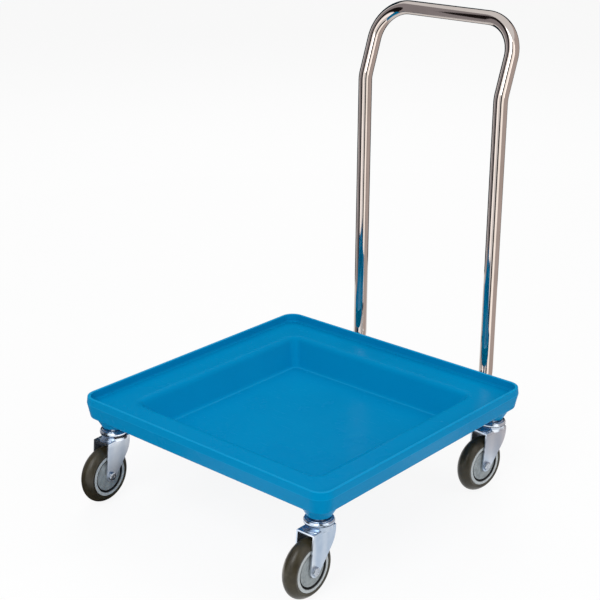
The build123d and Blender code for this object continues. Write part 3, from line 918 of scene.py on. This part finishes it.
@dataclass(frozen=True)
class Handle:
    """The push handle: one bent tube from under the tray, up both posts and over the bar.

    Attributes:
        tray_middle: the floor point under the tray's middle.
        radius: the tube's outside radius.
        wall: its thickness.
        post_x: how far each post stands to the side.
        end_y: how far behind the middle the tube's ends are.
        post_y: how far behind it the posts stand.
        under_z: the height of the runs under the tray.
        kink_z: the height where the posts lean back.
        bar_z: the height of the bar.
        lean: how far they lean, in radians.
        bends: the middle line's radii behind the tray, at the kink and at the bar.
        steps: points on each bend.
    """

    tray_middle: np.ndarray
    radius: float = 12.5 * MM
    wall: float = 1.5 * MM
    post_x: float = 148.0 * MM
    end_y: float = 12.0 * MM
    post_y: float = 335.4 * MM
    under_z: float = 105.0 * MM
    kink_z: float = 664.0 * MM
    bar_z: float = 790.0 * MM
    lean: float = radians(20.0)
    bends: tuple[float, float, float] = (60.0 * MM, 45.0 * MM, 63.0 * MM)
    steps: int = 26

    def line(self) -> np.ndarray:
        """The tube's middle line: straight runs with an arc at each bend.

        Returns:
            The points from the right end under the tray to the left one.
        """
        bar_y = self.post_y + (self.bar_z - self.kink_z) * np.tan(self.lean)
        side = np.array([[self.end_y, self.under_z], [self.post_y, self.under_z],
                         [self.post_y, self.kink_z], [bar_y, self.bar_z]])
        right = np.column_stack([np.full(len(side), self.post_x), side])
        corners = np.vstack([right, right[::-1] * [-1, 1, 1]])
        radii = [0.0, *self.bends, *self.bends[::-1], 0.0]
        return rounded_path(corners, radii, self.steps) + self.tray_middle

    def build(self, finish: bpy.types.Material) -> Iterator[bpy.types.Object]:
        """Make the tube in place of its solid.

        Args:
            finish: its material.

        Yields:
            The tube.
        """
        tube = BentTube(self.radius, self.radius - self.wall, self.lean)
        piece = build_mesh("bent_handle_tube", tube.surfaces(self.line()))
        piece.data.set_sharp_from_angle(angle=TUBE_SHARP_FROM)
        piece.data.materials.append(finish)
        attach(piece, "trolley")
        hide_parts("handle_tube")
        yield piece


@dataclass(frozen=True)
class Caster:
    """The turned and threaded pieces of one caster, from its swivel axis and its axle.

    The fields below the first three are sizes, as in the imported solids. A name that ends in _r is a
    radius and one that ends in _half is half of a width along the axle. The cap's top, bottom, inner
    face and shoulder and the balls' middles are heights above the floor.

    Attributes:
        corner: which of the four it is.
        swivel: the floor point under the swivel axis.
        axle: the middle of the axle.
    """

    corner: Corner
    swivel: np.ndarray
    axle: np.ndarray
    wheel_r: float = 50.0 * MM
    tread_half: float = 14.0 * MM
    tread_drop: float = 9.0 * MM
    seat_r: float = 36.45 * MM
    seat_half: float = 13.25 * MM
    key_r: float = 39.05 * MM
    key_half: float = 8.05 * MM
    flash: float = 0.15 * MM
    flash_half: float = 0.5 * MM
    dip_half: float = 0.6 * MM
    crown_from: float = 1.4 * MM
    shoulder: float = 1.6 * MM
    hub_r: float = 36.4 * MM
    hub_inner_r: float = 30.5 * MM
    hub_key_r: float = 39.0 * MM
    hub_key_half: float = 8.0 * MM
    boss_r: float = 11.0 * MM
    boss_half: float = 10.5 * MM
    web_half: float = 3.0 * MM
    ribs: int = 6
    rib_sheet: float = 2.2 * MM
    rib_half: float = 8.5 * MM
    rib_sunk: float = 1.0 * MM
    leg_inner: float = 14.7 * MM
    fork_half: float = 17.2 * MM
    axle_r: float = 4.0 * MM
    flats: float = 13.0 * MM
    head: float = 4.5 * MM
    nut: float = 5.5 * MM
    bolt_end: float = 2.0 * MM
    thread: float = 15.0 * MM
    overlap: float = 2.0 * MM
    nut_gap: float = 0.05 * MM
    bore: float = 6.05 * MM
    guard_collar: float = 9.0 * MM
    guard_r: float = 27.5 * MM
    guard_centre: float = 12.7 * MM
    guard_edge: float = 11.4 * MM
    guard_sheet: float = 1.4 * MM
    guard_ring_radii: tuple[float, ...] = (11.0 * MM, 12.0 * MM, 21.5 * MM, 22.5 * MM)
    guard_ring_rise: float = 0.405 * MM
    cap_r: float = 24.4 * MM
    cap_bottom: float = 120.0 * MM
    cap_inner: float = 121.6 * MM
    cap_shoulder: float = 122.6 * MM
    cap_top: float = 125.5 * MM
    cap_slope: float = 1.8 * MM
    ball_ring: float = 19.0 * MM
    ball_r: float = 3.255 * MM
    ball_z: float = 119.6 * MM
    bead_r: float = 1.5 * MM
    bead_rise: float = 0.9 * MM
    bead_span: tuple[float, float] = (radians(156), radians(24))
    segments: int = 96
    tread_segments: int = 128
    shank_segments: int = 48

    def axes(self) -> np.ndarray:
        """The caster's own directions in the frame.

        Returns:
            Three rows: across the wheel, against its trail, and up.
        """
        forward = unit((self.swivel - self.axle) * [1, 1, 0])
        up = np.array([0.0, 0.0, 1.0])
        return np.stack([np.cross(forward, up), forward, up])

    def along_axle(self) -> np.ndarray:
        """The turn that lays a piece made along +Z on the axle: x, y, z go to down, forward, across."""
        across, forward, up = self.axes()
        return np.stack([-up, forward, across], axis=1)

    def tread(self) -> Surface:
        """The tread: r = wheel_r - drop (h / half)^2 over the crown, with a fine flash line at h = 0.

        The line stands in a dip as deep as the line is high, so nothing passes the wheel's radius.

        Returns:
            The turned skin, with rounded shoulders and the groove that keys it to the hub.
        """
        height = np.concatenate([np.linspace(0, self.dip_half, 4),
                                 np.linspace(self.crown_from, self.tread_half - self.shoulder, 12)])
        line = self.flash * np.clip(1 - height / self.flash_half, 0, 1)
        dip = self.flash * (height <= self.dip_half)
        round_r = self.wheel_r - self.tread_drop * (height / self.tread_half) ** 2
        crown = np.column_stack([round_r + line - dip, height])
        side = np.array([crown[-1], [self.wheel_r - self.tread_drop, self.tread_half],
                         [self.seat_r, self.seat_half], [self.seat_r, self.key_half],
                         [self.key_r, self.key_half]])
        side = rounded_path(side, [0, 2.6 * MM, 0.7 * MM, 0.2 * MM, 0], 7)
        return lathe(mirrored(np.vstack([crown[:-1], side])), self.tread_segments, closed=True)

    def hub(self) -> list[Surface]:
        """The hub: a turned boss, web and rim, with six ribs across the web on both sides.

        Returns:
            The turned body, then the ribs.
        """
        half = np.array([[self.bore, self.boss_half], [self.boss_r, self.boss_half],
                         [self.boss_r, self.web_half], [self.hub_inner_r, self.web_half],
                         [self.hub_inner_r, self.seat_half], [self.hub_r, self.seat_half],
                         [self.hub_r, self.hub_key_half], [self.hub_key_r, self.hub_key_half]])
        half = rounded_path(half, np.array([0, 0.6, 0.8, 1.0, 0.7, 0.8, 0.2, 0]) * MM, 6)
        turns = [np.array(Matrix.Rotation(turn, 3, "Z")) for turn in full_turn(self.ribs)]
        ribs = [self.rib().moved(turn, np.zeros(3)) for turn in turns]
        return [lathe(mirrored(half), self.segments, closed=True), *ribs]

    def rib(self) -> Surface:
        """One rib: a slab from the boss to the rim, as rectangles stacked along the axle.

        Returns:
            The slab, closed at both ends and sunk at either side into what it joins.
        """
        inner, outer = self.boss_r - self.rib_sunk, self.hub_inner_r + self.rib_sunk
        side, end = self.rib_sheet / 2, self.rib_half
        ring = np.array([[inner, -side], [outer, -side], [outer, side], [inner, side]])
        middle = np.broadcast_to(ring.mean(axis=0), ring.shape)
        rows = [np.column_stack([outline, np.full(4, height)])
                for outline, height in ((middle, -end), (ring, -end), (ring, end), (middle, end))]
        return Surface(np.stack(rows))

    def guard(self) -> Surface:
        """One dished cover: a collar, a cone down to the rim and a low broad ring raised on the cone.

        The cone's height is the height at the collar less the slope times the distance from it.

        Returns:
            The turned sheet.
        """
        slope = (self.guard_centre - self.guard_edge) / (self.guard_r - self.guard_collar)
        ring_r = np.array(self.guard_ring_radii)
        ring_rise = np.array([0.0, 1.0, 1.0, 0.0]) * self.guard_ring_rise
        cone = np.column_stack([ring_r, self.guard_centre - slope * (ring_r - self.guard_collar) + ring_rise])
        back = self.guard_centre - self.guard_sheet
        profile = np.array([[self.bore, back], [self.bore, self.leg_inner],
                            [self.guard_collar, self.leg_inner], [self.guard_collar, self.guard_centre],
                            *cone, [self.guard_r, self.guard_edge],
                            [self.guard_r, self.guard_edge - self.guard_sheet], [self.guard_collar, back]])
        radii = np.array([0, 0.3, 0.5, *[0.6] * 7, 0]) * MM
        return lathe(rounded_path(profile, radii, 5), self.segments, closed=True)

    def race_cap(self) -> Surface:
        """The pressed cap: a rolled rim, a flat shoulder, a bead over the balls and their groove below.

        The bead and the groove are arcs about the middles of the bead and of the balls. The groove's
        arc runs between the angles where a ball's radius meets the cap's underside and its inner face.

        Returns:
            The turned sheet.
        """
        bead_z = self.cap_top + self.bead_rise - self.bead_r
        crest = arc((self.ball_ring, bead_z), self.bead_r, *self.bead_span)
        race = arc((self.ball_ring, self.ball_z), self.ball_r,
                   np.arcsin((self.cap_bottom - self.ball_z) / self.ball_r),
                   np.pi - np.arcsin((self.cap_inner - self.ball_z) / self.ball_r))
        outer = np.array([race[0], [self.cap_r, self.cap_bottom], [self.cap_r, self.cap_shoulder],
                          [self.cap_r - self.cap_slope, self.cap_top], crest[-1]])
        outer = rounded_path(outer, [0, 0.5 * MM, 1.5 * MM, 1.0 * MM, 0], 8)
        inner = np.array([crest[0], [self.bore, self.cap_top], [self.bore, self.cap_inner], race[-1]])
        profile = np.vstack([outer, crest[::-1][1:], inner[1:], race[::-1][1:-1]])
        return lathe(profile, self.segments, closed=True)

    def bolt(self) -> list[Surface]:
        """The axle bolt along +Z: a hexagon head, a plain shank and a threaded end past the nut.

        Returns:
            The head, the thread and the shank, which overlaps the thread.
        """
        upright = np.eye(3)
        far_end = -(self.fork_half + self.nut + self.bolt_end)
        shank_end = far_end + self.thread - self.overlap
        head = Hexagon(self.flats, self.head).surface().moved(upright, np.array([0, 0, self.fork_half]))
        thread = Thread(self.axle_r, self.thread).surface().moved(upright, np.array([0, 0, far_end]))
        plain = np.array([[0, shank_end], [self.axle_r, shank_end],
                          [self.axle_r, self.fork_half], [0, self.fork_half]])
        plain = rounded_path(plain, [0, 0.4 * MM, 0.1 * MM, 0], 4)
        return [head, thread, lathe(plain, self.shank_segments)]

    def add(self, name: str, node: str, body: str, slot: str, finishes: dict[str, bpy.types.Material],
            surfaces: list[Surface], turn: np.ndarray, place: np.ndarray) -> bpy.types.Object:
        """Put one piece on its body in place of its solid.

        Args:
            name: what the piece is.
            node: the solid that it stands for.
            body: the body that carries it.
            slot: the record's slot of its finish.
            finishes: the trolley's materials, by slot.
            surfaces: its surfaces, in the piece's own directions.
            turn: from those directions to the frame's.
            place: where its own origin goes.

        Returns:
            The piece.
        """
        piece = build_mesh(self.corner.node(name), [surface.moved(turn, place) for surface in surfaces])
        keep_flats_flat(piece)
        piece.data.materials.append(finishes[slot])
        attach(piece, body)
        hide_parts(self.corner.node(node))
        return piece

    def build(self, finishes: dict[str, bpy.types.Material]) -> Iterator[bpy.types.Object]:
        """Make the caster's pieces.

        Args:
            finishes: the trolley's materials, by slot.

        Yields:
            Each piece.
        """
        over = np.diag([1.0, -1.0, -1.0])
        fork, wheel = self.corner.node("fork") + "_body", self.corner.node("wheel") + "_body"
        nut = Hexagon(self.flats, self.nut, self.axle_r + self.nut_gap).surface()
        nut = nut.moved(over, np.array([0, 0, -self.fork_half]))
        guards = [self.guard(), self.guard().moved(over, np.zeros(3))]
        on_axle, on_swivel = (self.along_axle(), self.axle), (np.eye(3), self.swivel)
        for name, node, body, slot, surfaces, (turn, place) in (
                ("rubber_tread", "tread", wheel, "grey_rubber", [self.tread()], on_axle),
                ("ribbed_hub", "wheel_hub", wheel, "light_grey_plastic", self.hub(), on_axle),
                ("dished_guards", "hub_guards", fork, "grey_plastic", guards, on_axle),
                ("rolled_race_cap", "race_cap", "trolley", "bright_zinc", [self.race_cap()], on_swivel),
                ("threaded_axle", "axle_bolt", fork, "zinc_steel", self.bolt(), on_axle),
                ("hex_nut", "axle_nut", fork, "zinc_steel", [nut], on_axle)):
            yield self.add(name, node, body, slot, finishes, surfaces, turn, place)


# The studio


@dataclass(frozen=True)
class Flag:
    """A sheet of card out of view that shows only in reflections: it lies on the floor, then stands up.

    Attributes:
        name: what it is.
        bearing: the direction of its middle from the handle, in degrees from the camera's direction.
        half_width: half of the angle that it spans, in degrees.
        colour: its shade.
        near: how far from the handle its part on the floor begins.
        distance: how far from the handle it stands up.
        height: how high it stands.
        off_floor: how far its lying part is above the floor.
        columns: points across it.
    """

    name: str
    bearing: float
    half_width: float
    colour: Colour
    near: float = 0.35
    distance: float = 1.6
    height: float = 2.4
    off_floor: float = 2.0 * MM
    columns: int = 24

    def hang(self, middle: np.ndarray, camera_bearing: float) -> None:
        """Put the sheet up: three arcs of points, middle + (reach cos b, reach sin b, height).

        Args:
            middle: the floor point that it stands round.
            camera_bearing: the camera's direction from there, in radians.
        """
        span = np.linspace(self.bearing - self.half_width, self.bearing + self.half_width, self.columns)
        reach = np.array([[self.near], [self.distance], [self.distance]])
        height = np.array([[self.off_floor], [self.off_floor], [self.height]])
        points = middle + round_axis(reach, height, camera_bearing + np.radians(span))
        sheet = build_mesh(self.name, [Surface(points, around=False)])
        m = NodeTree(self.name)
        m.surface(Base_Color=(0, 0, 0, 1), Specular_IOR_Level=0.0, Emission_Color=self.colour,
                  Emission_Strength=1.0)
        sheet.data.materials.append(m.material)
        for sight in ("camera", "diffuse", "shadow", "transmission"):
            setattr(sheet, f"visible_{sight}", False)


@dataclass(frozen=True)
class Lamp:
    """A square soft lamp.

    Attributes:
        name: what it is.
        place: where it hangs from the floor point under the tray's middle.
        aim_height: how high above that point it aims.
        size: its side.
        power: in watts.
        in_gloss: whether reflections show it.
    """

    name: str
    place: tuple[float, float, float]
    aim_height: float
    size: float
    power: float
    in_gloss: bool = True

    def hang(self, middle: Vector) -> None:
        """Put the lamp up.

        Args:
            middle: the floor point under the tray's middle.
        """
        data = bpy.data.lights.new(self.name, "AREA")
        data.size = self.size
        data.energy = self.power
        lamp = bpy.data.objects.new(self.name, data)
        lamp.location = middle + Vector(self.place)
        facing = Vector((0, 0, self.aim_height)) - Vector(self.place)
        lamp.rotation_euler = facing.to_track_quat("-Z", "Y").to_euler()
        lamp.visible_glossy = self.in_gloss
        bpy.context.scene.collection.objects.link(lamp)


@dataclass
class Studio:
    """The camera at the photograph's viewpoint, soft lamps, reflecting cards and a pale floor.

    Attributes:
        tray_middle: the floor point under the tray's middle.
        camera_offset: the camera from there.
        right: the picture's rightward direction.
        up: its upward direction.
        back: from the picture towards the camera.
        lens: in millimetres.
        sensor: in millimetres.
        handle_behind: the handle's posts behind the tray's middle.
        sky_light: how strongly the sky lights the trolley.
        sky_seen: how bright the sky is seen, where 1 is white.
        floor_half: half the floor's side.
        floor_white: how much of the floor is seen as plain white, where the rest keeps the shadow.
        lamps: the soft lamps.
        flags: the reflecting cards.
    """

    tray_middle: Vector
    camera_offset: tuple[float, float, float] = (1.4353, -1.6531, 1.1655)
    right: tuple[float, float, float] = (0.75138716, 0.65984738, 0.00433125)
    up: tuple[float, float, float] = (-0.23247733, 0.25857419, 0.93759996)
    back: tuple[float, float, float] = (0.61755293, -0.70550749, 0.34768889)
    lens: float = 83.3806
    sensor: float = 36.0
    handle_behind: float = 0.335
    sky_light: float = 0.37
    sky_seen: float = 0.95
    floor_half: float = 40.0
    floor_white: float = 0.9
    lamps: tuple[Lamp, ...] = (
        Lamp("key", (0.6, -2.4, 2.7), 0.2, 2.2, 67),
        Lamp("fill", (2.7, 0.5, 1.6), 0.2, 2.0, 26),
        Lamp("back", (-1.8, 2.0, 2.6), 0.3, 2.0, 42, in_gloss=False),
    )
    flags: tuple[Flag, ...] = (
        Flag("brown_sheet", -94.0, 17.0, (0.35, 0.325, 0.34, 1.0)),
        Flag("dark_strip_left", -66.0, 11.0, (0.014, 0.01, 0.01, 1.0)),
        Flag("strip_light_left", -40.0, 11.0, (1.6, 1.54, 1.5, 1.0)),
        Flag("dark_strip_right", 2.0, 8.5, (0.02, 0.014, 0.012, 1.0), near=0.75),
        Flag("strip_light_right", 28.0, 12.0, (1.6, 1.52, 1.42, 1.0)),
        Flag("tan_sheet", 88.0, 44.0, (0.61, 0.53, 0.5, 1.0), near=0.3),
        Flag("dark_sheet_behind", 184.0, 52.0, (0.002, 0.02, 0.035, 1.0), near=0.9, distance=1.9),
    )

    def make_camera(self) -> None:
        """Set the camera where the photograph was taken from."""
        data = bpy.data.cameras.new("camera")
        data.lens = self.lens
        data.sensor_width = self.sensor
        camera = bpy.data.objects.new("camera", data)
        turn = Matrix((self.right, self.up, self.back)).transposed().to_4x4()
        camera.matrix_world = Matrix.Translation(self.tray_middle + Vector(self.camera_offset)) @ turn
        bpy.context.scene.collection.objects.link(camera)
        bpy.context.scene.camera = camera

    def make_world(self) -> None:
        """A pale even sky that the camera and reflections see as near white."""
        world = bpy.data.worlds.new("studio")
        bpy.context.scene.world = world
        world.use_nodes = True
        world.node_tree.nodes.clear()
        n = Nodes(world.node_tree)
        light, seen = (n.add("ShaderNodeBackground", None, {"Color": (1, 1, 1, 1), "Strength": strength})
                       for strength in (self.sky_light, self.sky_seen))
        sky = n.add("ShaderNodeMixShader", None, {0: n.seen(), 1: light, 2: seen})
        n.join(n.tree.nodes.new("ShaderNodeOutputWorld").inputs["Surface"], sky)

    def make_floor(self) -> None:
        """A white floor that keeps only the trolley's soft shadow."""
        corners = np.array([[[-1, -1, 0], [1, -1, 0]], [[-1, 1, 0], [1, 1, 0]]]) * self.floor_half
        floor = build_mesh("floor", [Surface(corners, around=False)])
        m = NodeTree("floor_white")
        m.surface(Base_Color=(0.9, 0.9, 0.9, 1.0), Roughness=0.9)
        seen = m.add("ShaderNodeEmission", None, {"Color": (1, 1, 1, 1), "Strength": 1.0})
        shown = m.add("ShaderNodeMixShader", None,
                      {0: m.seen() * self.floor_white, 1: Wire(m, m.shader.outputs[0]), 2: seen})
        m.join(m.tree.nodes["Material Output"].inputs["Surface"], shown)
        floor.data.materials.append(m.material)

    def build(self) -> None:
        """Make the camera, lamps, cards, sky and floor."""
        self.make_camera()
        for lamp in self.lamps:
            lamp.hang(self.tray_middle)
        self.make_world()
        self.make_floor()
        bearing = np.arctan2(self.camera_offset[1], self.camera_offset[0])
        for flag in self.flags:
            flag.hang(np.array(self.tray_middle) + [0, self.handle_behind, 0], bearing)
        bpy.context.scene.view_settings.view_transform = "Standard"


def dress_frame_nodes(frame: dict, finishes: dict[str, bpy.types.Material]) -> None:
    """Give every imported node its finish, and small rounded edges where it is shown as it is.

    Args:
        frame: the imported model.
        finishes: the trolley's materials, by slot.
    """
    for subpart in frame["record"]["subparts"]:
        node = frame["nodes"][subpart["node"]]
        finish = finishes[subpart["material_slot"]]
        if not node.material_slots:
            node.data.materials.append(finish)
        for slot in node.material_slots:
            slot.material = finish
        for start, width in EDGE_ROUNDING.items():
            if subpart["node"].startswith(start):
                break_edges(node, width)


def main() -> None:
    """Build the studio and the trolley's pieces, and log each piece's name."""
    logging.basicConfig(level=logging.INFO, format="%(message)s")
    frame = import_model()
    low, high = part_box("tray")
    middle = Vector(((low.x + high.x) / 2, (low.y + high.y) / 2, 0))
    Studio(middle).build()
    finishes = make_finishes()
    dress_frame_nodes(frame, finishes)
    for piece in Handle(np.array(middle)).build(finishes["polished_steel"]):
        LOG.info("handle: %s", piece.name)
    joints = {joint["name"]: np.array(joint["pos_m"]) for joint in frame["joints"]}
    for corner in Corner:
        swivel = joints[corner.node("swivel")] * [1, 1, 0]
        for piece in Caster(corner, swivel, joints[f"{corner.node('wheel')}_spin"]).build(finishes):
            LOG.info("caster: %s", piece.name)


if __name__ == "__main__":
    main()
